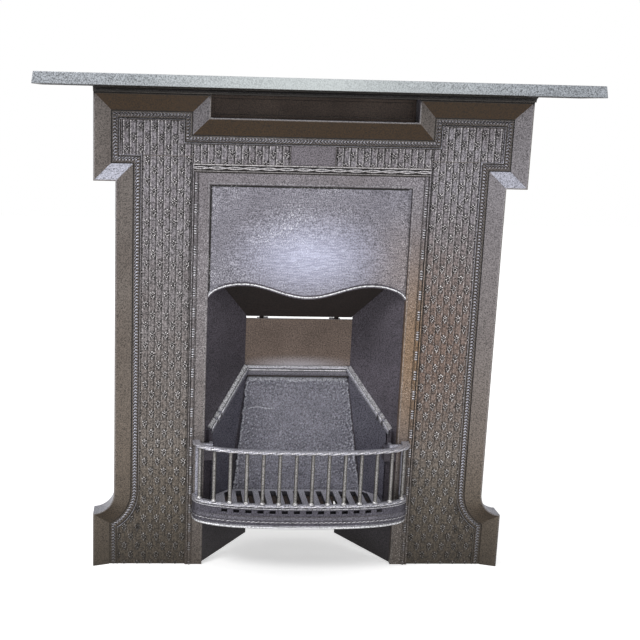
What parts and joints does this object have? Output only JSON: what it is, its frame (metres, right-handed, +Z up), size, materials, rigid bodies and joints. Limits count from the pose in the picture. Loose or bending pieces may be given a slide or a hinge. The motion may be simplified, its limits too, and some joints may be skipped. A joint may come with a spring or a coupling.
{
  "type": "cast iron fireplace",
  "caption": "Cast iron fireplace: bevelled surround with ears and curved feet, mantel shelf, hooded insert with splayed cheeks, firebrick, damper, lift-out grate and bowed front basket.",
  "frame": {"origin": "floor level, midway across and midway between the shelf's front edge and the back of the firebrick's straps", "axes": "+X to the right seen from the front, +Y back towards the wall, +Z up"},
  "size_m": [0.973, 0.225, 0.9135],
  "materials": {
    "surround_iron": "black-leaded cast iron",
    "shelf_iron": "black-leaded cast iron, polished by hand",
    "insert_iron": "black-leaded cast iron",
    "hood_iron": "black-leaded cast iron, polished",
    "firebox_iron": "sooted cast iron",
    "back_iron": "heat-browned cast iron",
    "basket_iron": "worn black-leaded cast iron",
    "bar_iron": "wrought bar, rubbed bare",
    "firebrick": "rough fireclay",
    "fixing_steel": "blackened steel bolts"
  },
  "bodies": {
    "fireplace": {"surround": "surround_iron", "recess_panel": "firebox_iron", "shelf_cove": "surround_iron", "mantel_shelf": "shelf_iron", "shelf_bolts": "fixing_steel", "insert_frame": "insert_iron", "insert_bolts": "fixing_steel", "hood_plate": "hood_iron", "hood_bolts": "fixing_steel", "left_cheek": "firebox_iron", "right_cheek": "firebox_iron", "cheek_bolts": "fixing_steel", "left_lining": "firebox_iron", "right_lining": "firebox_iron", "upper_back": "back_iron", "back_bolts": "fixing_steel", "back_ledge": "insert_iron", "firebrick": "firebrick", "brick_straps": "insert_iron", "strap_bolts": "fixing_steel", "rear_bearer": "firebox_iron", "front_bearer": "firebox_iron", "left_socket": "firebox_iron", "right_socket": "firebox_iron", "flap_pin": "fixing_steel"},
    "damper": {"damper_flap": "firebox_iron"},
    "grate": {"bottom_grate": "insert_iron"},
    "basket": {"top_rail": "basket_iron", "middle_rail": "basket_iron", "apron": "basket_iron", "bottom_lip": "basket_iron", "basket_bars": "bar_iron", "end_posts": "basket_iron", "basket_hooks": "basket_iron"}
  },
  "joints": [
    {"name": "damper_hinge", "type": "hinge", "parent": "fireplace", "child": "damper", "pos_m": [0, 0.084, 0.4605], "axis": [-1, 0, 0], "range_deg": [0, 40]},
    {"name": "grate_lift", "type": "slide", "parent": "fireplace", "child": "grate", "axis": [0, 0, 1], "range_m": [0, 0.09]},
    {"name": "basket_lift", "type": "slide", "parent": "fireplace", "child": "basket", "axis": [0, -0.5, 0.866], "range_m": [0, 0.25]}
  ]
}
